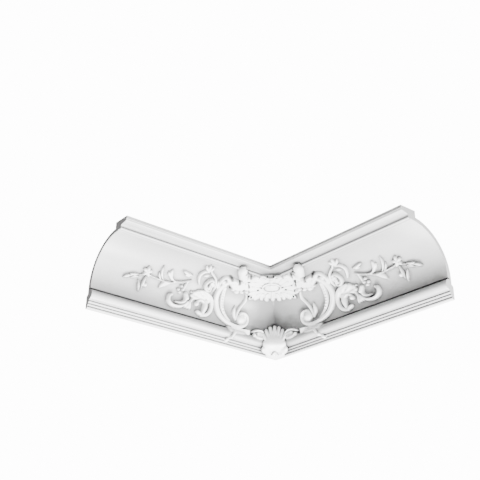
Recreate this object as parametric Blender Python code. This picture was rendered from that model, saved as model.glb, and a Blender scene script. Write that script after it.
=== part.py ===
"""Corner piece of a carved cove cornice: two arms mitred at a right angle, cast in one piece.

The working unit of every size and place below is the millimetre; the mesh is written in metres.
s runs along an arm from the corner, d runs out from the wall, z runs down from the ceiling, and
t runs over the face from the ceiling lip to the foot. The finished piece stands on its foot, with
its origin under the middle of its box.
"""
import bpy
import numpy as np

METRE = 0.001

# Driving sizes of the moulding
ARM = 600.0
HEIGHT = 186.0
PROJECTION = 160.0
COVE_RADIUS = 109.5
COVE_D = 126.0
COVE_Z = -135.5
BACK_RADIUS = 121.0
BACK_D = 126.5
BACK_Z = -137.0
CEILING_SEAT = 48.0
WALL_SEAT = 31.0
T_COVE = 51.8
COVE_LENGTH = COVE_RADIUS * np.pi / 2

# The ornament reaches a little further along the right arm than along the left
ARM_SHIFT = 11.0
SHIFT_RUN = 240.0

# Ornament places are as seen on the bare face from below and in front
SEEN_FROM_BELOW = np.radians(24.7)
SEEN_FROM_SIDE = 1.03
SIDE_RUN = 1550.0

# The corner's bloom and shell are drawn in the view up into it, and span its crease by this much
CORNER_VIEW = np.radians(20.0)
BRIDGE_V = (-60.0, 0.0, 25.0, 42.0, 55.0)
BRIDGE_B = (22.0, 24.0, 18.0, 10.0, 2.0)

# A hollow goes this far below the bare face
HOLE_DEPTH = 5.0

# A plate over the low groove is levelled with the roll: place over the face and added height
LEVEL_T = (206.0, 216.0, 224.0, 230.0, 238.0, 246.0)
LEVEL_H = (0.0, 6.0, 10.5, 8.0, 3.0, 0.0)

# The shell lies below this place up the view, on a seat of its own: place up the view and nearness
SHELL_TOP = -60.0
SHELL_BRIDGE = 20.0
SHELL_V = (-165.0, -145.0, -130.0, -118.0, -105.0, -90.0, -75.0)
SHELL_NEAR = (70.0, 76.0, 80.0, 78.0, 70.0, 62.0, 58.0)

# Mesh sizes
STATIONS = 200
FACE_STEP = 3.0
TRIANGLES = 9000


def arc(d, z, rd, rz, start, end, step):
    """Points of an elliptical arc, angles in degrees, 0 out from the wall and 90 up."""
    length = np.radians(abs(end - start)) * (rd + rz) / 2
    a = np.radians(np.linspace(start, end, max(3, int(round(length / step)) + 1)))
    return [(d + rd * np.cos(q), z + rz * np.sin(q)) for q in a]


def front_profile(step):
    """Section of the face: lip, nose, cavetto, bead, cove, roll and reeds, down to the foot."""
    p = [(PROJECTION, 0.0), (PROJECTION, -7.6), (158.8, -8.4)]
    p += arc(155.2, -9.6, 3.6, 3.6, 10, -90, step)
    p += [(151.2, -13.2)]
    p += arc(150.4, -20.2, 14.2, 6.4, 90, 180, step)
    p += arc(133.6, -22.8, 3.6, 3.6, 30, -125, step)
    p += [(129.9, -24.0), (127.6, -24.0)]
    cove = arc(COVE_D, COVE_Z, COVE_RADIUS, COVE_RADIUS, 90, 180, step)
    first = len(p)
    p += cove
    p += [(12.6, -136.6), (10.4, -138.0), (11.4, -140.2)]
    p += arc(14.3, -152.4, 11.2, 12.8, 98, -78, step)
    p += [(14.2, -166.4)]
    for d, z, r in ((11.4, -169.9, 2.9), (8.2, -176.1, 2.7), (5.0, -182.6, 3.2)):
        p += arc(d, z, r, r, 60, -60, step)
    p += [(4.2, -HEIGHT), (0.0, -HEIGHT)]
    p = np.array(p)
    run = np.r_[0.0, np.cumsum(np.hypot(*np.diff(p, axis=0).T))]
    return p, run - run[first] + T_COVE


def back_profile(step):
    """Section of the back, foot to lip: wall seat, hollow behind the cove, ceiling seat."""
    seat_d = PROJECTION - CEILING_SEAT
    top = np.degrees(np.arccos((seat_d - BACK_D) / BACK_RADIUS))
    p = [(0.0, WALL_SEAT - HEIGHT), (BACK_D - BACK_RADIUS, WALL_SEAT - HEIGHT + 5.0)]
    p += arc(BACK_D, BACK_Z, BACK_RADIUS, BACK_RADIUS, 180, top, step)
    p += [(seat_d, 0.0)]
    return np.array(p)


def smooth(points, count):
    """A smooth line of count points through the given rows (s, t, half width, height)."""
    p = np.array(points, float)
    q = np.vstack([2 * p[0] - p[1], p, 2 * p[-1] - p[-2]])
    x = np.linspace(0, len(p) - 1, count)
    k = np.minimum(x.astype(int), len(p) - 2)
    u = (x - k)[:, None]
    a, b, c, d = q[k], q[k + 1], q[k + 2], q[k + 3]
    square, cube = 2 * a - 5 * b + 4 * c - d, 3 * b - a - 3 * c + d
    out = 0.5 * (2 * b + (c - a) * u + square * u ** 2 + cube * u ** 3)
    out[:, 2:] = np.maximum(out[:, 2:], 0.4)
    return out


def settle(line, kind):
    """Move a form from where it is seen to where it stands: its near side shows, its far side doesn't."""
    s, t, w, h = line.T
    lean = np.radians(np.clip(90 - (t - T_COVE) * 90 / COVE_LENGTH, 10, 70))
    reach = SEEN_FROM_SIDE * (1 - s / SIDE_RUN) / (np.cos(lean) + np.tan(SEEN_FROM_BELOW) * np.sin(lean))
    slim = 0.0 if kind in ("hole", "plate") else 0.1
    return np.column_stack([s + 0.5 * h * reach, t - 0.5 * h * np.tan(lean - SEEN_FROM_BELOW),
                            np.maximum(w - slim * h, 0.75 * w), h])


def band(points, count=16, kind="round"):
    """A raised band or stem through rows (s, t, half width, height)."""
    return smooth(points, count), kind


def leaf(base, tip, bend, width, height, lobes=0):
    """A leaf from base to tip, bent sideways by bend, with a vein and, if asked, lobed edges."""
    b, e = np.array(base, float), np.array(tip, float)
    u = np.linspace(0, 1, 14)
    side = np.array([-(e - b)[1], (e - b)[0]]) / np.hypot(*(e - b))
    mid = b + np.outer(u, e - b) + np.outer(4 * bend * u * (1 - u), side)
    w = width / 2 * np.sin(np.pi * np.clip(0.12 + 0.86 * u, 0, 1) ** 1.15)
    if lobes:
        w = w * (0.78 + 0.3 * np.abs(np.sin(np.pi * lobes * u)))
    h = height * (0.55 + 0.45 * np.sin(np.pi * np.clip(0.1 + 0.8 * u, 0, 1)))
    return np.column_stack([mid, np.maximum(w, 0.8), h]), "leaf"


def ball(s, t, radius, height, kind="ball"):
    """A berry or a boss."""
    return np.array([(s - 0.1, t, radius, height), (s + 0.1, t, radius, height)]), kind


def hole(start, end, width, depth=11.0):
    """A hollow pierced down to the bare face, seen at the height of the forms round it."""
    return np.array([(*start, width / 2, depth), (*end, width / 2, depth)]), "hole"


def ring(x, v, rx, ry, width, height):
    """An oval rim."""
    a = np.linspace(0, 2 * np.pi, 40)
    x, v = x + rx * np.cos(a), v + ry * np.sin(a)
    return np.column_stack([x, v, 0 * a + width / 2, 0 * a + height]), "round"


def flower(s, t, radius, height, petals, turn=0.0):
    """A small rosette: petals round a berry."""
    out = [ball(s, t, radius * 0.34, height * 1.15)]
    for k in range(petals):
        a = np.radians(turn + 360 * k / petals)
        tip = (s + radius * np.cos(a), t - radius * np.sin(a))
        out.append(leaf((s, t), tip, 0.0, radius * 0.95, height))
    return out


def large_scroll():
    """C-shaped scroll with its volute, beaded inner rim, frond and the thin leaf on its back."""
    m = [band([(226, 102, 5, 9), (240, 114, 7.5, 12), (248, 134, 9, 13), (248, 156, 9, 13),
               (241, 174, 8.5, 13), (231, 189, 8, 13), (218, 201, 7.5, 12), (198, 211, 7, 12),
               (176, 216, 6.5, 12), (154, 217, 7, 12), (137, 211, 6, 12), (127, 202, 5.5, 12),
               (125, 190, 5, 11), (130, 181, 5, 11), (140, 177, 5, 11), (150, 179, 5.5, 11),
               (155, 188, 6, 11)], 60, "band")]
    m.append(ball(145, 195, 20, 6, "slab"))
    m.append(ball(146, 193, 16, 15))
    m.append(band([(236, 126, 7, 8), (232, 146, 7.5, 8), (227, 166, 7.5, 8), (218, 183, 7, 8),
                   (205, 198, 6, 8), (190, 208, 5, 7)], 24, "slab"))
    rim = smooth([(233, 134, 4, 11), (230, 150, 4.5, 12), (225, 166, 5, 12), (218, 180, 5, 12),
                  (207, 194, 4.5, 11), (192, 205, 4, 9)], 11)
    m.extend(ball(*bead) for bead in rim)
    m.append(band([(168, 199, 4.5, 8), (166, 184, 5, 8), (162, 168, 5, 8), (156, 154, 5, 8),
                   (152, 143, 5.5, 8), (155, 132, 3.5, 7), (161, 124, 3, 6)], 24))
    m.append(leaf((170, 200), (179, 164), 2, 13, 8))
    m.append(band([(236, 104, 5, 10), (244, 95, 5, 10), (254, 97, 5.5, 10), (259, 112, 5, 10),
                   (255, 128, 3.5, 9)], 18))
    m.append(ball(249, 112, 9, 8))
    m.append(leaf((252, 138), (266, 112), 2, 12, 8))
    return m


def crest():
    """Leaves that climb over the top moulding, their lower lobes and the hollows between them."""
    m = [band([(200, 82, 13, 11), (208, 72, 15, 14), (218, 60, 15, 15), (229, 48, 13, 13)], 12, "ball")]
    m.append(band([(166, 100, 13, 8), (186, 104, 18, 10), (206, 107, 18, 10), (224, 102, 13, 10),
                   (238, 97, 10, 10)], 16, "slab"))
    m.append(leaf((180, 94), (192, 62), 0, 20, 9))
    m.append(leaf((164, 92), (176, 46), 2, 26, 8))
    m.append(leaf((190, 100), (202, 64), -2, 15, 12))
    for lobe in ((163, 117, 8, 11), (178, 121, 9, 12), (194, 125, 10, 13), (209, 122, 8, 12),
                 (221, 108, 9, 13), (234, 100, 8, 12), (186, 106, 9, 12), (205, 106, 9, 12),
                 (170, 104, 9, 11), (238, 118, 6, 11), (152, 120, 7, 9)):
        m.append(ball(*lobe))
    for start, end, width, depth in (((206, 84), (202, 99), 8, 12), ((246, 84), (234, 91), 7.5, 3),
                                     ((183, 82), (175, 88), 6.5, 9), ((175, 88), (168, 99), 7, 9),
                                     ((177, 113), (178, 116), 6, 10), ((217, 121), (219, 121), 7, 10),
                                     ((239, 36), (222, 39), 6, 8), ((222, 37), (210, 50), 7, 9),
                                     ((210, 50), (192, 57), 6, 9), ((192, 57), (184, 69), 6, 9)):
        m.append(hole(start, end, width, depth))
    return m


def fruit_scroll():
    """Leafy second scroll with its bud and berries, and the leaf that crosses to the ring scroll."""
    m = [band([(324, 168, 4, 6), (306, 158, 8, 8), (284, 156, 8, 9), (264, 164, 7.5, 10), (255, 180, 7, 10),
               (257, 197, 7, 10), (268, 209, 6, 9), (284, 214, 5.5, 8)], 32, "band")]
    m.append(band([(272, 172, 9, 5), (296, 166, 10, 5), (316, 172, 8, 5)], 10, "slab"))
    m.append(band([(277, 176, 8, 9), (275, 190, 9.5, 12), (279, 204, 7, 9)], 10, "ball"))
    m.append(band([(280, 182, 4, 8), (288, 176, 5, 8), (298, 178, 5, 8), (303, 187, 5, 8)], 14))
    m.append(ball(302, 188, 7.5, 11))
    m.append(leaf((282, 212), (302, 206), 0, 15, 10))
    m.append(leaf((268, 168), (292, 150), 3, 15, 9, 3))
    m.append(leaf((288, 168), (312, 152), 3, 15, 9, 3))
    m.append(leaf((300, 172), (330, 170), 3, 14, 8, 3))
    for s, t in ((292, 156), (300, 152), (306, 156), (328, 163)):
        m.append(ball(s, t, 4, 9))
    m.append(band([(322, 162, 4, 7), (319, 176, 4.5, 8), (325, 190, 5, 9), (329, 202, 6, 9)], 14))
    m.append(leaf((325, 186), (322, 208), 0, 12, 9))
    m.append(leaf((326, 186), (340, 208), 0, 12, 9))
    m.append(hole((324, 162), (324, 165), 3))
    return m


def pod():
    """Curled pod beside the large scroll, with its tuft and the flame leaf."""
    m = [band([(268, 144, 3, 5), (266, 132, 4.5, 7), (272, 116, 5, 8), (284, 104, 4.5, 8), (300, 95, 4, 7),
               (310, 84, 3, 6)], 22)]
    m.append(band([(279, 128, 10, 5), (285, 138, 9, 5)], 6, "slab"))
    m.append(band([(277, 118, 4.5, 8), (288, 116, 5, 9), (296, 128, 5.5, 9), (295, 140, 5, 9),
                   (285, 147, 5, 8), (276, 145, 4, 8), (278, 132, 3.5, 8)], 26))
    m.append(hole((286, 128), (287, 137), 4, 6))
    for tip, bend in (((308, 72), -1), ((321, 66), 1), ((332, 75), 2)):
        m.append(leaf((312, 92), tip, bend, 11, 7))
    m.append(band([(310, 93, 3, 5), (322, 98, 4.5, 7), (328, 110, 5, 8), (324, 124, 4.5, 7),
                   (317, 137, 2.5, 5)], 18, "leaf"))
    m.append(leaf((302, 104), (318, 112), 0, 10, 5))
    return m


def ring_scroll():
    """Open ring with a bulb at its left, and the berries that hang over it."""
    m = [band([(331, 190, 4, 7), (343, 202, 5, 8), (360, 208, 5.5, 8), (377, 208, 6.5, 9), (388, 200, 7, 9),
               (389, 188, 6.5, 8), (382, 182, 4, 6)], 26)]
    m.append(band([(340, 180, 6, 8), (341, 190, 6, 8), (352, 197, 5, 6), (368, 198, 3, 5)], 14))
    m.append(band([(342, 172, 7, 9), (336, 181, 8.5, 11)], 6, "ball"))
    m.append(band([(350, 138, 3, 5), (352, 148, 4, 6), (354, 160, 4.5, 6)], 8))
    for s, t in ((362, 156), (355, 163), (368, 166), (362, 172)):
        m.append(ball(s, t, 5, 7.5))
    return m


def sprig():
    """Outer stem with its hook, down and tendril leaves, the bloom, buds and end leaves."""
    m = [band([(343, 134, 3, 5), (356, 141, 3.5, 5.5), (372, 147, 3.5, 5.5), (388, 149, 3.5, 5.5),
               (397, 144, 3.5, 5), (402, 138, 3, 5)], 16)]
    m.append(band([(382, 148, 3, 5), (396, 156, 3.5, 5.5), (420, 157, 3, 5.5), (448, 155, 3, 5),
                   (470, 153, 2.5, 5), (490, 160, 2.5, 4.5)], 20))
    m.append(leaf((396, 148), (407, 120), 4, 17, 6))
    m.append(leaf((404, 142), (416, 128), 2, 9, 5))
    m.append(leaf((396, 156), (426, 177), -4, 19, 6))
    m.append(leaf((418, 157), (436, 117), 5, 10, 6))
    m.append(leaf((426, 156), (440, 137), 2, 9, 5.5))
    m.append(leaf((346, 120), (380, 114), 2, 13, 7, 2))
    m.append(leaf((352, 124), (370, 124), 0, 10, 6))
    m.extend(flower(471, 146, 14, 7, 5, 90))
    m.append(ball(465, 179, 8, 8))
    m.append(leaf((470, 158), (476, 193), 1, 11, 7))
    m.append(leaf((488, 172), (481, 200), 2, 9, 6.5))
    m.append(leaf((486, 160), (519, 167), 2, 11, 6))
    m.append(leaf((490, 166), (531, 176), -2, 11, 6))
    return m


def roll_leaf():
    """Smooth leaf that covers the low groove and the roll, its tie, and the small scroll by the shell."""
    m = [band([(124, 232, 12, 3), (140, 236, 15, 3), (160, 237, 16, 3), (182, 238, 15, 3)], 12, "plate")]
    m.append(band([(115, 222, 3, 8), (121, 232, 3.5, 7), (128, 243, 3, 5)], 8))
    m.append(band([(168, 247, 6, 5), (177, 260, 4, 6), (184, 270, 4, 6), (192, 283, 6, 5)], 12, "band"))
    m.append(ball(180, 265, 5, 8))
    m.append(ball(76, 231, 19, 3, "plate"))
    m.append(band([(100, 219, 4, 14), (86, 213, 5, 15), (71, 211, 5, 14), (59, 217, 4.5, 14),
                   (54, 230, 4.5, 12), (60, 242, 4, 8), (71, 248, 4, 5), (86, 249, 4, 5),
                   (99, 245, 4, 5)], 36))
    m.append(ball(99, 244, 6, 8))
    m.append(band([(72, 222, 3, 18), (67, 232, 3.5, 14), (74, 241, 3.5, 8), (86, 241, 4, 8)], 14))
    return m


def arm_ornament():
    """Everything carved on one arm, moved from where it is seen to where it stands."""
    m = large_scroll() + crest() + fruit_scroll() + pod() + ring_scroll() + sprig() + roll_leaf()
    return [(settle(line, kind), kind) for line, kind in m]


def corner_ornament():
    """Bloom and shell of the corner, by their place across it (x) and up the view from the room (v)."""
    m = [band([(-50, 8, 12, 6), (0, 8, 15, 6), (50, 8, 12, 6)], 12, "slab"),
         band([(-42, 32, 10, 5), (0, 38, 14, 5), (42, 32, 10, 5)], 12, "slab"),
         band([(-24, 46, 6, 3), (0, 48, 7, 4), (24, 46, 6, 3)], 8, "slab")]
    m.append(band([(-11, 20, 9, 14), (0, 20, 9.5, 16), (11, 20, 9, 14)], 8, "ball"))
    m.append(ring(0, 20, 24, 10.5, 5, 13))
    m.append(band([(-1, 48, 5.5, 7), (0, 36, 6.5, 12)], 4, "ball"))
    m.append(band([(0, 6, 5, 12), (0, -7, 6, 13)], 5))
    for side in (-1, 1):
        for base, tip, width, height in (((8, 6), (17, -9), 13, 13), ((20, 7), (31, -7), 12, 12),
                                         ((26, 8), (48, -9), 13, 11), ((38, 4), (64, -8), 12, 10),
                                         ((28, 11), (66, 4), 12, 11), ((28, 18), (66, 17), 14, 11),
                                         ((25, 24), (62, 32), 14, 11), ((19, 28), (46, 42), 13, 11),
                                         ((11, 31), (29, 48), 12, 10), ((5, 33), (14, 49), 9, 9)):
            m.append(leaf((side * base[0], base[1]), (side * tip[0], tip[1]), 2 * side, width, height))
        m.append(ball(side * 17, -7, 6.5, 12))
        m.append(ball(side * 30, -5, 5.5, 11))
        m.append(ball(side * 47, -5, 5, 10))
    m.append(hole((36, 16), (38, 15), 4, 0))
    m.append(hole((56, -2), (57, -4), 4, 0))
    m.append(hole((8, 50), (9, 46), 3.5, 0))
    m.append(band([(0, -148, 29, 9), (0, -110, 21, 9)], 6, "slab"))
    for k in range(-3, 4):
        a = np.radians(10.5 * k)
        reach = 68 - 1.2 * k * k
        m.append(band([(0.5 * reach * np.sin(a), -152 + 0.5 * reach * np.cos(a), 4.5, 14),
                       (0.8 * reach * np.sin(a), -152 + 0.8 * reach * np.cos(a), 5.8, 13.5),
                       (reach * np.sin(a), -152 + reach * np.cos(a), 5.2, 12)], 8))
    m.append(band([(-8, -131, 23, 18), (0, -128, 26, 23), (8, -131, 23, 18)], 12, "ball"))
    m.append(band([(-24, -143, 12, 13), (24, -143, 12, 13)], 8, "ball"))
    m.append(band([(-9, -166, 3.5, 17), (0, -152, 4, 22), (9, -166, 3.5, 17)], 12))
    return m


def section(x, kind):
    """Height over a carved form, from 1 on its line to 0 at its edge, with x from 0 to 1."""
    edge = np.clip(1 - x * x, 0, 1)
    if kind == "leaf":
        return edge ** 0.6 * (1 - 0.3 * np.exp(-(x / 0.22) ** 2))
    if kind == "band":
        return edge ** 0.45 * (0.82 + 0.18 * np.clip(x / 0.6, 0, 1) ** 2)
    if kind in ("slab", "plate"):
        return np.clip(edge * 2.2, 0, 1)
    if kind == "hole":
        return np.clip(edge * 1.8, 0, 1)
    return edge ** 0.6


def carve(a, b, motifs):
    """Height of the ornament over the face at places (a, b)."""
    height = np.zeros_like(a)
    for line, kind in motifs:
        reach = line[:, 2].max()
        low, high = line[:, :2].min(0) - reach, line[:, :2].max(0) + reach
        near = (a > low[0]) & (a < high[0]) & (b > low[1]) & (b < high[1])
        if not near.any():
            continue
        pa, pb = a[near], b[near]
        best = np.zeros(len(pa))
        for p, q in zip(line[:-1], line[1:]):
            run = q[:2] - p[:2]
            u = np.clip(((pa - p[0]) * run[0] + (pb - p[1]) * run[1]) / max(run @ run, 1e-9), 0, 1)
            off = np.hypot(pa - p[0] - u * run[0], pb - p[1] - u * run[1])
            form = section(np.clip(off / (p[2] + (q[2] - p[2]) * u), 0, 1), kind)
            best = np.maximum(best, form if kind == "hole" else (p[3] + (q[3] - p[3]) * u) * form)
        if kind == "plate":
            best = best + np.interp(pb, LEVEL_T, LEVEL_H) * np.clip(best, 0, 1)
        if kind == "hole":
            height[near] -= best * (height[near] + HOLE_DEPTH)
        else:
            height[near] = np.maximum(height[near], best)
    return height


def cast():
    """The whole casting as rows of section loops, from the left end round the corner to the right."""
    front, t = front_profile(FACE_STEP)
    back = back_profile(4 * FACE_STEP)
    d, z = front.T
    tangent = np.gradient(front, axis=0)
    normal = np.column_stack([-tangent[:, 1], tangent[:, 0]]) / np.hypot(*tangent.T)[:, None]
    arm, corner = arm_ornament(), corner_ornament()
    bare = np.zeros(len(t), bool)
    bare[:3] = bare[-2:] = True
    rows = []
    for side in (-1, 1):
        along = np.linspace(0, 1, STATIONS + 1)[:, None]
        clear = along * (ARM - d)
        s = d + clear
        shifted = s - side * ARM_SHIFT * np.clip(clear / SHIFT_RUN, 0, 1)
        tt = np.broadcast_to(t, s.shape)
        h = carve(shifted.ravel(), tt.ravel(), arm).reshape(s.shape)
        across = clear / np.sqrt(2)
        up = (s + d) / np.sqrt(2) * np.sin(CORNER_VIEW) + z * np.cos(CORNER_VIEW)
        m = carve(across.ravel(), up.ravel(), corner).reshape(s.shape)
        bridge = np.interp(up, BRIDGE_V, BRIDGE_B)
        m = np.maximum(m, 0)
        near = (s + d) / np.sqrt(2) * np.cos(CORNER_VIEW) - z * np.sin(CORNER_VIEW)
        seat = np.hypot(across, SHELL_BRIDGE) * np.cos(CORNER_VIEW) + np.interp(up, SHELL_V, SHELL_NEAR)
        rise = np.where(up < SHELL_TOP, np.maximum(seat - near, 0), np.hypot(across, bridge) - across)
        m += rise * np.clip(m / 3, 0, 1)
        h = np.where(m > 0, np.maximum(h - m, 0), h)
        h[-1] = m[-1] = 0
        h[:, bare] = m[:, bare] = 0
        turn = np.clip(1 - clear / 70.0, 0, 1)
        toward = m * np.cos(CORNER_VIEW) / np.sqrt(2)
        out_d = d + h * normal[:, 0] + toward
        out_s = s + turn * h * normal[:, 0] + toward
        out_z = np.maximum(z + h * normal[:, 1] - m * np.sin(CORNER_VIEW), np.minimum(z, 1 - HEIGHT))
        bs = back[:, 0] + along * (ARM - back[:, 0])
        loop_s = np.hstack([out_s, bs])
        loop_d = np.hstack([out_d, np.broadcast_to(back[:, 0], bs.shape)])
        loop_z = np.hstack([out_z, np.broadcast_to(back[:, 1], bs.shape)])
        x = side * (loop_s - loop_d) / np.sqrt(2)
        y = -(loop_s + loop_d) / np.sqrt(2)
        block = np.stack([x, y, loop_z], -1)
        rows.append(block[:0:-1] if side < 0 else block)
    grid = np.concatenate(rows)
    grid[..., 1] += (ARM + PROJECTION) / np.sqrt(2) / 2
    grid[..., 2] += HEIGHT
    return grid * METRE


def build():
    """Make the mesh object, thin out its flat stretches and give it its white finish."""
    grid = cast()
    rows, cols = grid.shape[:2]
    faces = []
    for i in range(rows - 1):
        for j in range(cols):
            k = (j + 1) % cols
            faces.append((i * cols + j, i * cols + k, (i + 1) * cols + k, (i + 1) * cols + j))
    faces.append(tuple(range(cols - 1, -1, -1)))
    faces.append(tuple((rows - 1) * cols + j for j in range(cols)))
    mesh = bpy.data.meshes.new("cornice_corner")
    mesh.from_pydata(grid.reshape(-1, 3).tolist(), [], faces)
    mesh.validate()
    obj = bpy.data.objects.new("cornice_corner", mesh)
    bpy.context.scene.collection.objects.link(obj)
    thin = obj.modifiers.new("thin_out", "DECIMATE")
    thin.ratio = TRIANGLES / (2 * rows * cols)
    mesh.shade_smooth()
    white = bpy.data.materials.new("white_polyurethane")
    white.use_nodes = True
    shader = white.node_tree.nodes["Principled BSDF"]
    shader.inputs["Base Color"].default_value = (0.86, 0.86, 0.855, 1.0)
    shader.inputs["Roughness"].default_value = 0.55
    mesh.materials.append(white)
    return obj


for old in list(bpy.data.objects):
    bpy.data.objects.remove(old)
build()
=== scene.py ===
"""Looks of the carved cornice corner: the fine casting, its white finish with painted shade in the recesses
and the corner and a painted highlight on the carving, floor, light and camera.
"""
import bpy
import numpy as np
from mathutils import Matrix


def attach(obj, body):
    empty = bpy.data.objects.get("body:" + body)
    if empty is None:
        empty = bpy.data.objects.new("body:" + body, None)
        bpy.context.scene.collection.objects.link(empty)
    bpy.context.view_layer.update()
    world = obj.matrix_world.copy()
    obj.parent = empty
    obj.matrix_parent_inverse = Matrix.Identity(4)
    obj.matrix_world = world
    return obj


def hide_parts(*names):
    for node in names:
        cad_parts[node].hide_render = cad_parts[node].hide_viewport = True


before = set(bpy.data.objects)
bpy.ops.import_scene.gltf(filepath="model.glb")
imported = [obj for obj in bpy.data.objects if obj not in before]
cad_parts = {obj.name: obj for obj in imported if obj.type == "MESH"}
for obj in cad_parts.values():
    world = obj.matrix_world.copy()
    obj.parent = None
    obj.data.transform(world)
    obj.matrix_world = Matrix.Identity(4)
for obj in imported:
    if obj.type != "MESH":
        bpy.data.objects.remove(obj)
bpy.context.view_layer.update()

METRE = 0.001

# Driving sizes of the moulding
ARM = 600.0
HEIGHT = 186.0
PROJECTION = 160.0
COVE_RADIUS = 109.5
COVE_D = 126.0
COVE_Z = -135.5
BACK_RADIUS = 121.0
BACK_D = 126.5
BACK_Z = -137.0
CEILING_SEAT = 48.0
WALL_SEAT = 31.0
T_COVE = 51.8
COVE_LENGTH = COVE_RADIUS * np.pi / 2

# The ornament reaches a little further along the right arm than along the left
ARM_SHIFT = 11.0
SHIFT_RUN = 240.0

# Ornament places are as seen on the bare face from below and in front
SEEN_FROM_BELOW = np.radians(24.7)
SEEN_FROM_SIDE = 1.03
SIDE_RUN = 1550.0

# Lean of the cove that a form is moved by, in degrees, and how its height slims it, down to a share of itself
LEAN_LEAST, LEAN_MOST = 10, 70
SLIM_BY_HEIGHT = 0.1
SLIM_LEAST = 0.75

# The corner's bloom and shell are drawn in the view up into it, and span its crease by this much
CORNER_VIEW = np.radians(20.0)
BRIDGE_V = (-60.0, 0.0, 25.0, 42.0, 55.0)
BRIDGE_B = (22.0, 24.0, 18.0, 10.0, 2.0)

# A hollow goes this far below the bare face
HOLE_DEPTH = 5.0

# The relief of an arm turns into the corner over this run, and stays this far above the foot's plane
TURN_RUN = 70.0
FOOT_CLEARANCE = 1

# The corner's forms are carried forward fully once they are this high
CARRY_HEIGHT = 3

# A plate over the low groove is levelled with the roll: place over the face and added height
LEVEL_T = (206.0, 216.0, 224.0, 230.0, 238.0, 246.0)
LEVEL_H = (0.0, 6.0, 10.5, 8.0, 3.0, 0.0)

# The shell lies below this place up the view, on a seat of its own: place up the view and nearness
SHELL_TOP = -60.0
SHELL_BRIDGE = 20.0
SHELL_V = (-165.0, -145.0, -130.0, -118.0, -105.0, -90.0, -75.0)
SHELL_NEAR = (70.0, 76.0, 80.0, 78.0, 70.0, 62.0, 58.0)

# A form this high counts as wholly raised and gets the full painted highlight of the finish
RAISED = 5.0

# Share of the drawn height that the slighter forms past the large scroll have, and of the sprig's width
OUTER_LIFT = 1.25
SPRIG_WIDTH = 0.85

# Mesh sizes
STATIONS = 430
FACE_STEP = 1.5
TRIANGLES = 190000


def arc(d, z, rd, rz, start, end, step):
    """Points of an elliptical arc, angles in degrees, 0 out from the wall and 90 up."""
    length = np.radians(abs(end - start)) * (rd + rz) / 2
    a = np.radians(np.linspace(start, end, max(3, int(round(length / step)) + 1)))
    return [(d + rd * np.cos(q), z + rz * np.sin(q)) for q in a]


def front_profile(step):
    """Section of the face: lip, nose, cavetto, bead, cove, roll and reeds, down to the foot."""
    p = [(PROJECTION, 0.0), (PROJECTION, -7.6), (158.8, -8.4)]
    p += arc(155.2, -9.6, 3.6, 3.6, 10, -90, step)
    p += [(151.2, -13.2)]
    p += arc(150.4, -20.2, 14.2, 6.4, 90, 180, step)
    p += arc(133.6, -22.8, 3.6, 3.6, 30, -125, step)
    p += [(129.9, -24.0), (127.6, -24.0)]
    cove = arc(COVE_D, COVE_Z, COVE_RADIUS, COVE_RADIUS, 90, 180, step)
    first = len(p)
    p += cove
    p += [(12.6, -136.6), (10.4, -138.0), (11.4, -140.2)]
    p += arc(14.3, -152.4, 11.2, 12.8, 98, -78, step)
    p += [(14.2, -166.4)]
    for d, z, r in ((11.4, -169.9, 2.9), (8.2, -176.1, 2.7), (5.0, -182.6, 3.2)):
        p += arc(d, z, r, r, 60, -60, step)
    p += [(4.2, -HEIGHT), (0.0, -HEIGHT)]
    p = np.array(p)
    run = np.r_[0.0, np.cumsum(np.hypot(*np.diff(p, axis=0).T))]
    return p, run - run[first] + T_COVE


def back_profile(step):
    """Section of the back, foot to lip: wall seat, hollow behind the cove, ceiling seat."""
    seat_d = PROJECTION - CEILING_SEAT
    top = np.degrees(np.arccos((seat_d - BACK_D) / BACK_RADIUS))
    p = [(0.0, WALL_SEAT - HEIGHT), (BACK_D - BACK_RADIUS, WALL_SEAT - HEIGHT + 5.0)]
    p += arc(BACK_D, BACK_Z, BACK_RADIUS, BACK_RADIUS, 180, top, step)
    p += [(seat_d, 0.0)]
    return np.array(p)


def smooth(points, count):
    """A smooth line of count points through the given rows (s, t, half width, height)."""
    p = np.array(points, float)
    q = np.vstack([2 * p[0] - p[1], p, 2 * p[-1] - p[-2]])
    x = np.linspace(0, len(p) - 1, count)
    k = np.minimum(x.astype(int), len(p) - 2)
    u = (x - k)[:, None]
    a, b, c, d = q[k], q[k + 1], q[k + 2], q[k + 3]
    square, cube = 2 * a - 5 * b + 4 * c - d, 3 * b - a - 3 * c + d
    out = 0.5 * (2 * b + (c - a) * u + square * u ** 2 + cube * u ** 3)
    out[:, 2:] = np.maximum(out[:, 2:], 0.4)
    return out


def settle(line, kind):
    """Move a form from where it is seen to where it stands: its near side shows, its far side doesn't."""
    s, t, w, h = line.T
    lean = np.radians(np.clip(90 - (t - T_COVE) * 90 / COVE_LENGTH, LEAN_LEAST, LEAN_MOST))
    reach = SEEN_FROM_SIDE * (1 - s / SIDE_RUN) / (np.cos(lean) + np.tan(SEEN_FROM_BELOW) * np.sin(lean))
    slim = 0.0 if kind in ("hole", "plate") else SLIM_BY_HEIGHT
    return np.column_stack([s + 0.5 * h * reach, t - 0.5 * h * np.tan(lean - SEEN_FROM_BELOW),
                            np.maximum(w - slim * h, SLIM_LEAST * w), h])


def band(points, count=16, kind="round"):
    """A raised band or stem through rows (s, t, half width, height)."""
    return smooth(points, count), kind


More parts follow.
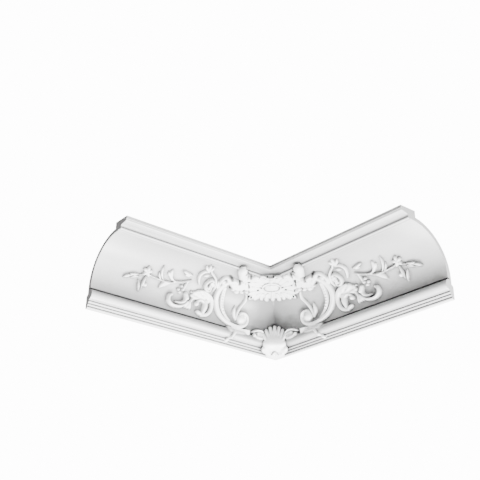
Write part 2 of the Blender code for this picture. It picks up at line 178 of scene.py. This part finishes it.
def leaf(base, tip, bend, width, height, lobes=0):
    """A leaf from base to tip, bent sideways by bend, with a vein and, if asked, lobed edges."""
    b, e = np.array(base, float), np.array(tip, float)
    u = np.linspace(0, 1, 14)
    side = np.array([-(e - b)[1], (e - b)[0]]) / np.hypot(*(e - b))
    mid = b + np.outer(u, e - b) + np.outer(4 * bend * u * (1 - u), side)
    w = width / 2 * np.sin(np.pi * np.clip(0.12 + 0.86 * u, 0, 1) ** 1.15)
    if lobes:
        w = w * (0.78 + 0.3 * np.abs(np.sin(np.pi * lobes * u)))
    h = height * (0.55 + 0.45 * np.sin(np.pi * np.clip(0.1 + 0.8 * u, 0, 1)))
    return np.column_stack([mid, np.maximum(w, 0.8), h]), "leaf"


def ball(s, t, radius, height, kind="ball"):
    """A berry or a boss."""
    return np.array([(s - 0.1, t, radius, height), (s + 0.1, t, radius, height)]), kind


def hole(start, end, width, depth=11.0):
    """A hollow pierced down to the bare face, seen at the height of the forms round it."""
    return np.array([(*start, width / 2, depth), (*end, width / 2, depth)]), "hole"


def ring(x, v, rx, ry, width, height):
    """An oval rim."""
    a = np.linspace(0, 2 * np.pi, 40)
    x, v = x + rx * np.cos(a), v + ry * np.sin(a)
    return np.column_stack([x, v, 0 * a + width / 2, 0 * a + height]), "round"


def flower(s, t, radius, height, petals, turn=0.0):
    """A small rosette: petals round a berry."""
    out = [ball(s, t, radius * 0.34, height * 1.15)]
    for k in range(petals):
        a = np.radians(turn + 360 * k / petals)
        tip = (s + radius * np.cos(a), t - radius * np.sin(a))
        out.append(leaf((s, t), tip, 0.0, radius * 0.95, height))
    return out


def large_scroll():
    """C-shaped scroll with its volute, beaded inner rim, frond and the thin leaf on its back."""
    m = [band([(226, 102, 5, 9), (240, 114, 7.5, 12), (248, 134, 9, 13), (248, 156, 9, 13),
               (241, 174, 8.5, 13), (231, 189, 8, 13), (218, 201, 7.5, 12), (198, 211, 7, 12),
               (176, 216, 6.5, 12), (154, 217, 7, 12), (137, 211, 6, 12), (127, 202, 5.5, 12),
               (125, 190, 5, 11), (130, 181, 5, 11), (140, 177, 5, 11), (150, 179, 5.5, 11),
               (155, 188, 6, 11)], 60, "band")]
    m.append(ball(145, 195, 20, 6, "slab"))
    m.append(ball(146, 193, 16, 15))
    m.append(band([(236, 126, 7, 8), (232, 146, 7.5, 8), (227, 166, 7.5, 8), (218, 183, 7, 8),
                   (205, 198, 6, 8), (190, 208, 5, 7)], 24, "slab"))
    rim = smooth([(233, 134, 4, 11), (230, 150, 4.5, 12), (225, 166, 5, 12), (218, 180, 5, 12),
                  (207, 194, 4.5, 11), (192, 205, 4, 9)], 11)
    m.extend(ball(*bead) for bead in rim)
    m.append(band([(168, 199, 4.5, 8), (166, 184, 5, 8), (162, 168, 5, 8), (156, 154, 5, 8),
                   (152, 143, 5.5, 8), (155, 132, 3.5, 7), (161, 124, 3, 6)], 24))
    m.append(leaf((170, 200), (179, 164), 2, 13, 8))
    m.append(band([(236, 104, 5, 10), (244, 95, 5, 10), (254, 97, 5.5, 10), (259, 112, 5, 10),
                   (255, 128, 3.5, 9)], 18))
    m.append(ball(249, 112, 9, 8))
    m.append(leaf((252, 138), (266, 112), 2, 12, 8))
    return m


def crest():
    """Leaves that climb over the top moulding, their lower lobes and the hollows between them."""
    m = [band([(200, 82, 13, 11), (208, 72, 15, 14), (218, 60, 15, 15), (229, 48, 13, 13)], 12, "ball")]
    m.append(band([(166, 100, 13, 8), (186, 104, 18, 10), (206, 107, 18, 10), (224, 102, 13, 10),
                   (238, 97, 10, 10)], 16, "slab"))
    m.append(leaf((180, 94), (192, 62), 0, 20, 9))
    m.append(leaf((164, 92), (176, 46), 2, 26, 8))
    m.append(leaf((190, 100), (202, 64), -2, 15, 12))
    for lobe in ((163, 117, 8, 11), (178, 121, 9, 12), (194, 125, 10, 13), (209, 122, 8, 12),
                 (221, 108, 9, 13), (234, 100, 8, 12), (186, 106, 9, 12), (205, 106, 9, 12),
                 (170, 104, 9, 11), (238, 118, 6, 11), (152, 120, 7, 9)):
        m.append(ball(*lobe))
    for start, end, width, depth in (((206, 84), (202, 99), 8, 12), ((246, 84), (234, 91), 7.5, 3),
                                     ((183, 82), (175, 88), 6.5, 9), ((175, 88), (168, 99), 7, 9),
                                     ((177, 113), (178, 116), 6, 10), ((217, 121), (219, 121), 7, 10),
                                     ((239, 36), (222, 39), 6, 8), ((222, 37), (210, 50), 7, 9),
                                     ((210, 50), (192, 57), 6, 9), ((192, 57), (184, 69), 6, 9)):
        m.append(hole(start, end, width, depth))
    return m


def fruit_scroll():
    """Leafy second scroll with its bud and berries, and the leaf that crosses to the ring scroll."""
    m = [band([(324, 168, 4, 6), (306, 158, 8, 8), (284, 156, 8, 9), (264, 164, 7.5, 10), (255, 180, 7, 10),
               (257, 197, 7, 10), (268, 209, 6, 9), (284, 214, 5.5, 8)], 32, "band")]
    m.append(band([(272, 172, 9, 5), (296, 166, 10, 5), (316, 172, 8, 5)], 10, "slab"))
    m.append(band([(277, 176, 8, 9), (275, 190, 9.5, 12), (279, 204, 7, 9)], 10, "ball"))
    m.append(band([(280, 182, 4, 8), (288, 176, 5, 8), (298, 178, 5, 8), (303, 187, 5, 8)], 14))
    m.append(ball(302, 188, 7.5, 11))
    m.append(leaf((282, 212), (302, 206), 0, 15, 10))
    m.append(leaf((268, 168), (292, 150), 3, 15, 9, 3))
    m.append(leaf((288, 168), (312, 152), 3, 15, 9, 3))
    m.append(leaf((300, 172), (330, 170), 3, 14, 8, 3))
    for s, t in ((292, 156), (300, 152), (306, 156), (328, 163)):
        m.append(ball(s, t, 4, 9))
    m.append(band([(322, 162, 4, 7), (319, 176, 4.5, 8), (325, 190, 5, 9), (329, 202, 6, 9)], 14))
    m.append(leaf((325, 186), (322, 208), 0, 12, 9))
    m.append(leaf((326, 186), (340, 208), 0, 12, 9))
    m.append(hole((324, 162), (324, 165), 3))
    return m


def pod():
    """Curled pod beside the large scroll, with its tuft and the flame leaf."""
    m = [band([(268, 144, 3, 5), (266, 132, 4.5, 7), (272, 116, 5, 8), (284, 104, 4.5, 8), (300, 95, 4, 7),
               (310, 84, 3, 6)], 22)]
    m.append(band([(279, 128, 10, 5), (285, 138, 9, 5)], 6, "slab"))
    m.append(band([(277, 118, 4.5, 8), (288, 116, 5, 9), (296, 128, 5.5, 9), (295, 140, 5, 9),
                   (285, 147, 5, 8), (276, 145, 4, 8), (278, 132, 3.5, 8)], 26))
    m.append(hole((286, 128), (287, 137), 4, 6))
    for tip, bend in (((308, 72), -1), ((321, 66), 1), ((332, 75), 2)):
        m.append(leaf((312, 92), tip, bend, 11, 7))
    m.append(band([(310, 93, 3, 5), (322, 98, 4.5, 7), (328, 110, 5, 8), (324, 124, 4.5, 7),
                   (317, 137, 2.5, 5)], 18, "leaf"))
    m.append(leaf((302, 104), (318, 112), 0, 10, 5))
    return m


def ring_scroll():
    """Open ring with a bulb at its left, and the berries that hang over it."""
    m = [band([(331, 190, 4, 7), (343, 202, 5, 8), (360, 208, 5.5, 8), (377, 208, 6.5, 9), (388, 200, 7, 9),
               (389, 188, 6.5, 8), (382, 182, 4, 6)], 26)]
    m.append(band([(340, 180, 6, 8), (341, 190, 6, 8), (352, 197, 5, 6), (368, 198, 3, 5)], 14))
    m.append(band([(342, 172, 7, 9), (336, 181, 8.5, 11)], 6, "ball"))
    m.append(band([(350, 138, 3, 5), (352, 148, 4, 6), (354, 160, 4.5, 6)], 8))
    for s, t in ((362, 156), (355, 163), (368, 166), (362, 172)):
        m.append(ball(s, t, 5, 7.5))
    return m


def sprig():
    """Outer stem with its hook, down and tendril leaves, the bloom, buds and end leaves."""
    m = [band([(343, 134, 3, 5), (356, 141, 3.5, 5.5), (372, 147, 3.5, 5.5), (388, 149, 3.5, 5.5),
               (397, 144, 3.5, 5), (402, 138, 3, 5)], 16)]
    m.append(band([(382, 148, 3, 5), (396, 156, 3.5, 5.5), (420, 157, 3, 5.5), (448, 155, 3, 5),
                   (470, 153, 2.5, 5), (490, 160, 2.5, 4.5)], 20))
    m.append(leaf((396, 148), (407, 120), 4, 17, 6))
    m.append(leaf((404, 142), (416, 128), 2, 9, 5))
    m.append(leaf((396, 156), (426, 177), -4, 19, 6))
    m.append(leaf((418, 157), (436, 117), 5, 10, 6))
    m.append(leaf((426, 156), (440, 137), 2, 9, 5.5))
    m.append(leaf((346, 120), (380, 114), 2, 13, 7, 2))
    m.append(leaf((352, 124), (370, 124), 0, 10, 6))
    m.extend(flower(471, 146, 14, 7, 5, 90))
    m.append(ball(465, 179, 8, 8))
    m.append(leaf((470, 158), (476, 193), 1, 11, 7))
    m.append(leaf((488, 172), (481, 200), 2, 9, 6.5))
    m.append(leaf((492, 158), (516, 163), 2, 10, 6))
    m.append(leaf((508, 166), (531, 176), -1, 11, 6))
    m.append(leaf((488, 164), (512, 174), -2, 8, 5))
    return m


def roll_leaf():
    """Smooth leaf that covers the low groove and the roll, its tie, and the small scroll by the shell."""
    m = [band([(124, 232, 12, 3), (140, 236, 15, 3), (160, 237, 16, 3), (182, 238, 15, 3)], 12, "plate")]
    m.append(band([(115, 222, 3, 8), (121, 232, 3.5, 7), (128, 243, 3, 5)], 8))
    m.append(band([(168, 247, 6, 5), (177, 260, 4, 6), (184, 270, 4, 6), (192, 283, 6, 5)], 12, "band"))
    m.append(ball(180, 265, 5, 8))
    m.append(ball(76, 231, 19, 3, "plate"))
    m.append(band([(100, 219, 4, 14), (86, 213, 5, 15), (71, 211, 5, 14), (59, 217, 4.5, 14),
                   (54, 230, 4.5, 12), (60, 242, 4, 8), (71, 248, 4, 5), (86, 249, 4, 5),
                   (99, 245, 4, 5)], 36))
    m.append(ball(99, 244, 6, 8))
    m.append(band([(72, 222, 3, 18), (67, 232, 3.5, 14), (74, 241, 3.5, 8), (86, 241, 4, 8)], 14))
    return m


def arm_ornament():
    """Everything carved on one arm, moved from where it is seen to where it stands."""
    m = large_scroll() + crest() + fruit_scroll() + roll_leaf()
    m += [(line * (1, 1, 1, OUTER_LIFT), kind) for line, kind in pod() + ring_scroll()]
    m += [(line * (1, 1, SPRIG_WIDTH, OUTER_LIFT), kind) for line, kind in sprig()]
    return [(settle(line, kind), kind) for line, kind in m]


def corner_ornament():
    """Bloom and shell of the corner, by their place across it (x) and up the view from the room (v)."""
    m = [band([(-50, 8, 12, 6), (0, 8, 15, 6), (50, 8, 12, 6)], 12, "slab"),
         band([(-42, 32, 10, 5), (0, 38, 14, 5), (42, 32, 10, 5)], 12, "slab"),
         band([(-24, 46, 6, 3), (0, 48, 7, 4), (24, 46, 6, 3)], 8, "slab")]
    m.append(band([(-11, 20, 9, 14), (0, 20, 9.5, 16), (11, 20, 9, 14)], 8, "ball"))
    m.append(ring(0, 20, 24, 10.5, 5, 13))
    m.append(band([(-1, 48, 5.5, 7), (0, 36, 6.5, 12)], 4, "ball"))
    m.append(band([(0, 6, 5, 12), (0, -7, 6, 13)], 5))
    for side in (-1, 1):
        for base, tip, width, height in (((8, 6), (17, -9), 13, 13), ((20, 7), (31, -7), 12, 12),
                                         ((26, 8), (48, -9), 13, 11), ((38, 4), (64, -8), 12, 10),
                                         ((28, 11), (66, 4), 12, 11), ((28, 18), (66, 17), 14, 11),
                                         ((25, 24), (62, 32), 14, 11), ((19, 28), (46, 42), 13, 11),
                                         ((11, 31), (29, 48), 12, 10), ((5, 33), (14, 49), 9, 9)):
            m.append(leaf((side * base[0], base[1]), (side * tip[0], tip[1]), 2 * side, width, height))
        m.append(ball(side * 17, -7, 6.5, 12))
        m.append(ball(side * 30, -5, 5.5, 11))
        m.append(ball(side * 47, -5, 5, 10))
    m.append(hole((36, 16), (38, 15), 4, 0))
    m.append(hole((56, -2), (57, -4), 4, 0))
    m.append(hole((8, 50), (9, 46), 3.5, 0))
    m.append(band([(0, -148, 29, 9), (0, -110, 21, 11)], 6, "slab"))
    for k in range(-3, 4):
        a = np.radians(10.5 * k)
        reach = 68 - 1.2 * k * k
        m.append(band([(0.5 * reach * np.sin(a), -152 + 0.5 * reach * np.cos(a), 4.5, 14),
                       (0.8 * reach * np.sin(a), -152 + 0.8 * reach * np.cos(a), 5.8, 13.5),
                       (reach * np.sin(a), -152 + reach * np.cos(a), 5.2, 12)], 8))
    m.append(band([(-8, -131, 24, 18), (0, -128, 28, 24), (8, -131, 24, 18)], 12, "ball"))
    m.append(band([(-24, -143, 12, 13), (24, -143, 12, 13)], 8, "ball"))
    m.append(band([(-9, -166, 3.5, 17), (0, -152, 4, 22), (9, -166, 3.5, 17)], 12))
    return m


def section(x, kind):
    """Height over a carved form, from 1 on its line to 0 at its edge, with x from 0 to 1."""
    edge = np.clip(1 - x * x, 0, 1)
    if kind == "leaf":
        return edge ** 0.6 * (1 - 0.2 * np.exp(-(x / 0.22) ** 2))
    if kind == "band":
        return edge ** 0.45 * (0.82 + 0.18 * np.clip(x / 0.6, 0, 1) ** 2)
    if kind in ("slab", "plate"):
        return np.clip(edge * 2.2, 0, 1)
    if kind == "hole":
        return np.clip(edge * 1.8, 0, 1)
    return edge ** 0.6


def carve(a, b, motifs):
    """Height of the ornament over the face at places (a, b)."""
    height = np.zeros_like(a)
    for line, kind in motifs:
        reach = line[:, 2].max()
        low, high = line[:, :2].min(0) - reach, line[:, :2].max(0) + reach
        near = (a > low[0]) & (a < high[0]) & (b > low[1]) & (b < high[1])
        if not near.any():
            continue
        pa, pb = a[near], b[near]
        best = np.zeros(len(pa))
        for p, q in zip(line[:-1], line[1:]):
            run = q[:2] - p[:2]
            u = np.clip(((pa - p[0]) * run[0] + (pb - p[1]) * run[1]) / max(run @ run, 1e-9), 0, 1)
            off = np.hypot(pa - p[0] - u * run[0], pb - p[1] - u * run[1])
            form = section(np.clip(off / (p[2] + (q[2] - p[2]) * u), 0, 1), kind)
            best = np.maximum(best, form if kind == "hole" else (p[3] + (q[3] - p[3]) * u) * form)
        if kind == "plate":
            best = best + np.interp(pb, LEVEL_T, LEVEL_H) * np.clip(best, 0, 1)
        if kind == "hole":
            height[near] -= best * (height[near] + HOLE_DEPTH)
        else:
            height[near] = np.maximum(height[near], best)
    return height


def cast():
    """The whole casting as rows of section loops, from the left end round the corner to the right.

    Gives the places in metres, and how far each stands on the carving, from 0 on the bare face to 1.
    """
    front, t = front_profile(FACE_STEP)
    back = back_profile(4 * FACE_STEP)
    d, z = front.T
    tangent = np.gradient(front, axis=0)
    normal = np.column_stack([-tangent[:, 1], tangent[:, 0]]) / np.hypot(*tangent.T)[:, None]
    arm, corner = arm_ornament(), corner_ornament()
    bare = np.zeros(len(t), bool)
    bare[:3] = bare[-2:] = True
    rows = []
    for side in (-1, 1):
        along = np.linspace(0, 1, STATIONS + 1)[:, None]
        clear = along * (ARM - d)
        s = d + clear
        shifted = s - side * ARM_SHIFT * np.clip(clear / SHIFT_RUN, 0, 1)
        tt = np.broadcast_to(t, s.shape)
        h = carve(shifted.ravel(), tt.ravel(), arm).reshape(s.shape)
        across = clear / np.sqrt(2)
        up = (s + d) / np.sqrt(2) * np.sin(CORNER_VIEW) + z * np.cos(CORNER_VIEW)
        m = carve(across.ravel(), up.ravel(), corner).reshape(s.shape)
        bridge = np.interp(up, BRIDGE_V, BRIDGE_B)
        m = np.maximum(m, 0)
        # How far each place stands on the carving; the finish paints the carving lighter by it as a painted
        # highlight
        raised = np.clip(np.maximum(h, m) / RAISED, 0, 1)
        near = (s + d) / np.sqrt(2) * np.cos(CORNER_VIEW) - z * np.sin(CORNER_VIEW)
        seat = np.hypot(across, SHELL_BRIDGE) * np.cos(CORNER_VIEW) + np.interp(up, SHELL_V, SHELL_NEAR)
        rise = np.where(up < SHELL_TOP, np.maximum(seat - near, 0), np.hypot(across, bridge) - across)
        m += rise * np.clip(m / CARRY_HEIGHT, 0, 1)
        h = np.where(m > 0, np.maximum(h - m, 0), h)
        h[-1] = m[-1] = 0
        h[:, bare] = m[:, bare] = 0
        turn = np.clip(1 - clear / TURN_RUN, 0, 1)
        toward = m * np.cos(CORNER_VIEW) / np.sqrt(2)
        out_d = d + h * normal[:, 0] + toward
        out_s = s + turn * h * normal[:, 0] + toward
        foot = np.minimum(z, FOOT_CLEARANCE - HEIGHT)
        out_z = np.maximum(z + h * normal[:, 1] - m * np.sin(CORNER_VIEW), foot)
        bs = back[:, 0] + along * (ARM - back[:, 0])
        loop_s = np.hstack([out_s, bs])
        loop_d = np.hstack([out_d, np.broadcast_to(back[:, 0], bs.shape)])
        loop_z = np.hstack([out_z, np.broadcast_to(back[:, 1], bs.shape)])
        x = side * (loop_s - loop_d) / np.sqrt(2)
        y = -(loop_s + loop_d) / np.sqrt(2)
        loop_raised = np.hstack([raised, np.zeros_like(bs)])
        block = np.stack([x, y, loop_z, loop_raised], -1)
        rows.append(block[:0:-1] if side < 0 else block)
    grid = np.concatenate(rows)
    grid[..., 1] += (ARM + PROJECTION) / np.sqrt(2) / 2
    grid[..., 2] += HEIGHT
    return grid[..., :3] * METRE, grid[..., 3]


# Where the reference view is taken from, in millimetres and degrees, with its lens
CAMERA_PLACE = (125.4, -1923.6, -689.3)
CAMERA_TURN = (115.83, -1.42, 7.53)
CAMERA_LENS = 61.77
CAMERA_SHIFT = (0.0613, -0.0042)

# Edges sharper than this are drawn as edges
SHARP = np.radians(55)

# Painted light: the raised carving is painted whiter than the bare face as a painted highlight, and the bare
# face is painted greyer by how open it lies (fully, half, or deep in a recess) as painted shade in the
# recesses and the corner
RAISED_PAINTED_HIGHLIGHT = (0.9, 0.9, 0.895)
FACE_WHITE_PAINTED_SHADE = (0.74, 0.74, 0.735)
HALF_OPEN_PAINTED_SHADE = (0.34, 0.34, 0.34)
RECESS_PAINTED_SHADE = (0.18, 0.18, 0.18)
OPEN_FULLY, OPEN_HALF, OPEN_LEAST = 0.93, 0.84, 0.45
RECESS_REACH = 0.3

# Painted shade: narrow hollows between carved forms are darkened down to this share, over this range of
# openness
CREVICE_REACH = 0.03
CREVICE_SHADE = 0.55
CREVICE_OPEN = (0.3, 0.85)
HOLLOW_SAMPLES = 8

# Orange peel: how fine, and how strong and deep
PEEL_SCALE = 900.0
PEEL_DETAIL = 3.0
PEEL_STRENGTH = 0.08
PEEL_DEPTH = 0.0004

# Slow unevenness of the white and of its sheen, each from its least to its most
CLOUD_SCALE = 14.0
CLOUD_DETAIL = 4.0
EVENNESS = (0.97, 1.0)
SHEEN = (0.28, 0.4)

# Studio, in metres and plain strengths
FLOOR_SIZE = 14.0
FLOOR_LEVEL = -1.6
FLOOR_WHITE = 0.85
FLOOR_ROUGHNESS = 0.8
FILL = 0.03
BACKDROP = 14.0

# Lamps, all turned to one place: where each stands, how wide it is and its watts
AIM = (0, 0, 0.1)
LAMPS = {
    "from_front_right": ((0.9, -1.25, -1.35), 0.4, 98),
    "from_below": ((0.1, 0.0, -1.3), 0.4, 83),
    "from_right": ((1.6, 0.1, -1.15), 0.4, 83),
    "from_front_left": ((-0.9, -1.4, -0.5), 0.4, 8),
    "from_behind": ((0.3, 1.6, 1.7), 1.2, 110),
}


def white_finish_and_painted_shade():
    """Satin white with painted light: painted shade greys the bare face, the recesses and the narrow hollows,
    and a painted highlight whitens the raised carving, with a faint orange peel and an uneven sheen.
    """
    mat = bpy.data.materials.new("white_primer_and_painted_shade")
    mat.use_nodes = True
    nodes, links = mat.node_tree.nodes, mat.node_tree.links
    shader = nodes["Principled BSDF"]
    place = nodes.new("ShaderNodeTexCoord")
    grain = nodes.new("ShaderNodeTexNoise")
    grain.inputs["Scale"].default_value = PEEL_SCALE
    grain.inputs["Detail"].default_value = PEEL_DETAIL
    links.new(place.outputs["Object"], grain.inputs["Vector"])
    bump = nodes.new("ShaderNodeBump")
    bump.inputs["Strength"].default_value = PEEL_STRENGTH
    bump.inputs["Distance"].default_value = PEEL_DEPTH
    links.new(grain.outputs["Fac"], bump.inputs["Height"])
    links.new(bump.outputs["Normal"], shader.inputs["Normal"])
    cloud = nodes.new("ShaderNodeTexNoise")
    cloud.inputs["Scale"].default_value = CLOUD_SCALE
    cloud.inputs["Detail"].default_value = CLOUD_DETAIL
    links.new(place.outputs["Object"], cloud.inputs["Vector"])
    # Painted shade: the bare face is greyed by how open it lies, darkest in recesses and deep in the corner
    depth = nodes.new("ShaderNodeAmbientOcclusion")
    depth.samples = HOLLOW_SAMPLES
    depth.inputs["Distance"].default_value = RECESS_REACH
    recess = nodes.new("ShaderNodeValToRGB")
    recess.color_ramp.elements[0].position = OPEN_LEAST
    recess.color_ramp.elements[0].color = (*RECESS_PAINTED_SHADE, 1)
    recess.color_ramp.elements[1].position = OPEN_FULLY
    recess.color_ramp.elements[1].color = (*FACE_WHITE_PAINTED_SHADE, 1)
    recess.color_ramp.elements.new(OPEN_HALF).color = (*HALF_OPEN_PAINTED_SHADE, 1)
    links.new(depth.outputs["AO"], recess.inputs["Fac"])
    # Painted highlight: the raised carving is mixed toward a lighter white than the bare face
    carving = nodes.new("ShaderNodeAttribute")
    carving.attribute_name = "raised"
    lift = nodes.new("ShaderNodeMix")
    lift.data_type = "RGBA"
    lift.inputs["B"].default_value = (*RAISED_PAINTED_HIGHLIGHT, 1)
    links.new(carving.outputs["Fac"], lift.inputs["Factor"])
    links.new(recess.outputs["Color"], lift.inputs["A"])
    tone_and_painted_shade = nodes.new("ShaderNodeMix")
    tone_and_painted_shade.data_type = "RGBA"
    tone_and_painted_shade.blend_type = "MULTIPLY"
    tone_and_painted_shade.inputs["Factor"].default_value = 1.0
    uneven = nodes.new("ShaderNodeMapRange")
    uneven.inputs["To Min"].default_value, uneven.inputs["To Max"].default_value = EVENNESS
    links.new(cloud.outputs["Fac"], uneven.inputs["Value"])
    # Painted shade in the narrow hollows between carved forms
    crevice = nodes.new("ShaderNodeAmbientOcclusion")
    crevice.samples = HOLLOW_SAMPLES
    crevice.inputs["Distance"].default_value = CREVICE_REACH
    shade = nodes.new("ShaderNodeMapRange")
    shade.inputs["From Min"].default_value, shade.inputs["From Max"].default_value = CREVICE_OPEN
    shade.inputs["To Min"].default_value = CREVICE_SHADE
    links.new(crevice.outputs["AO"], shade.inputs["Value"])
    # The random unevenness of the white is multiplied by the painted shade of the hollows
    both = nodes.new("ShaderNodeMath")
    both.operation = "MULTIPLY"
    links.new(uneven.outputs["Result"], both.inputs[0])
    links.new(shade.outputs["Result"], both.inputs[1])
    links.new(lift.outputs["Result"], tone_and_painted_shade.inputs["A"])
    links.new(both.outputs["Value"], tone_and_painted_shade.inputs["B"])
    links.new(tone_and_painted_shade.outputs["Result"], shader.inputs["Base Color"])
    sheen = nodes.new("ShaderNodeMapRange")
    sheen.inputs["To Min"].default_value, sheen.inputs["To Max"].default_value = SHEEN
    links.new(cloud.outputs["Fac"], sheen.inputs["Value"])
    links.new(sheen.outputs["Result"], shader.inputs["Roughness"])
    return mat


def casting():
    """The fine casting that stands for the CAD solid."""
    grid, raised = cast()
    rows, cols = grid.shape[:2]
    faces = []
    for i in range(rows - 1):
        for j in range(cols):
            k = (j + 1) % cols
            faces.append((i * cols + j, i * cols + k, (i + 1) * cols + k, (i + 1) * cols + j))
    faces.append(tuple(range(cols - 1, -1, -1)))
    faces.append(tuple((rows - 1) * cols + j for j in range(cols)))
    mesh = bpy.data.meshes.new("carved_cornice")
    mesh.from_pydata(grid.reshape(-1, 3).tolist(), [], faces)
    # The raised share drives the painted highlight on the carving in the finish
    mesh.attributes.new("raised", "FLOAT", "POINT").data.foreach_set("value", raised.ravel())
    mesh.validate()
    mesh.shade_smooth()
    mesh.materials.append(white_finish_and_painted_shade())
    obj = bpy.data.objects.new("carved_cornice", mesh)
    bpy.context.scene.collection.objects.link(obj)
    thin = obj.modifiers.new("thin_out", "DECIMATE")
    thin.ratio = TRIANGLES / (2 * rows * cols)
    fine = bpy.data.meshes.new_from_object(obj.evaluated_get(bpy.context.evaluated_depsgraph_get()))
    obj.modifiers.clear()
    obj.data = fine
    fine.set_sharp_from_angle(angle=SHARP)
    return obj


def lamp(name, place, size, power):
    """A square soft light at place, in metres and watts."""
    data = bpy.data.lights.new(name, "AREA")
    data.size = size
    data.energy = power
    obj = bpy.data.objects.new(name, data)
    obj.location = place
    to = np.array(AIM) - np.array(place)
    obj.rotation_euler = (np.pi / 2 + np.arctan2(to[2], np.hypot(to[0], to[1])), 0, np.arctan2(-to[0], to[1]))
    bpy.context.scene.collection.objects.link(obj)


def studio():
    """Pale floor well below the piece, white surround, lights from below on the face, one for the back."""
    h = FLOOR_SIZE / 2
    mesh = bpy.data.meshes.new("floor")
    mesh.from_pydata([(-h, -h, 0), (h, -h, 0), (h, h, 0), (-h, h, 0)], [], [(0, 1, 2, 3)])
    floor = bpy.data.objects.new("floor", mesh)
    floor.location = (0, 0, FLOOR_LEVEL)
    bpy.context.scene.collection.objects.link(floor)
    pale = bpy.data.materials.new("pale_floor")
    pale.use_nodes = True
    paint = pale.node_tree.nodes["Principled BSDF"]
    paint.inputs["Base Color"].default_value = (FLOOR_WHITE, FLOOR_WHITE, FLOOR_WHITE, 1)
    paint.inputs["Roughness"].default_value = FLOOR_ROUGHNESS
    mesh.materials.append(pale)
    world = bpy.data.worlds.new("surround")
    world.use_nodes = True
    nodes, links = world.node_tree.nodes, world.node_tree.links
    fill = nodes["Background"]
    fill.inputs["Color"].default_value = (1, 1, 1, 1)
    fill.inputs["Strength"].default_value = FILL
    seen = nodes.new("ShaderNodeBackground")
    seen.inputs["Color"].default_value = (1, 1, 1, 1)
    seen.inputs["Strength"].default_value = BACKDROP
    path = nodes.new("ShaderNodeLightPath")
    mix = nodes.new("ShaderNodeMixShader")
    links.new(path.outputs["Is Camera Ray"], mix.inputs[0])
    links.new(fill.outputs[0], mix.inputs[1])
    links.new(seen.outputs[0], mix.inputs[2])
    links.new(mix.outputs[0], nodes["World Output"].inputs["Surface"])
    bpy.context.scene.world = world
    for name, (place, size, power) in LAMPS.items():
        lamp(name, place, size, power)


def camera():
    """The photograph's angle."""
    data = bpy.data.cameras.new("view")
    data.lens = CAMERA_LENS
    data.shift_x, data.shift_y = CAMERA_SHIFT
    data.clip_start = 0.05
    obj = bpy.data.objects.new("view", data)
    obj.location = [v * METRE for v in CAMERA_PLACE]
    obj.rotation_euler = np.radians(CAMERA_TURN)
    bpy.context.scene.collection.objects.link(obj)
    bpy.context.scene.camera = obj


piece = casting()
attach(piece, "root")
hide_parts("cornice_corner")
studio()
camera()
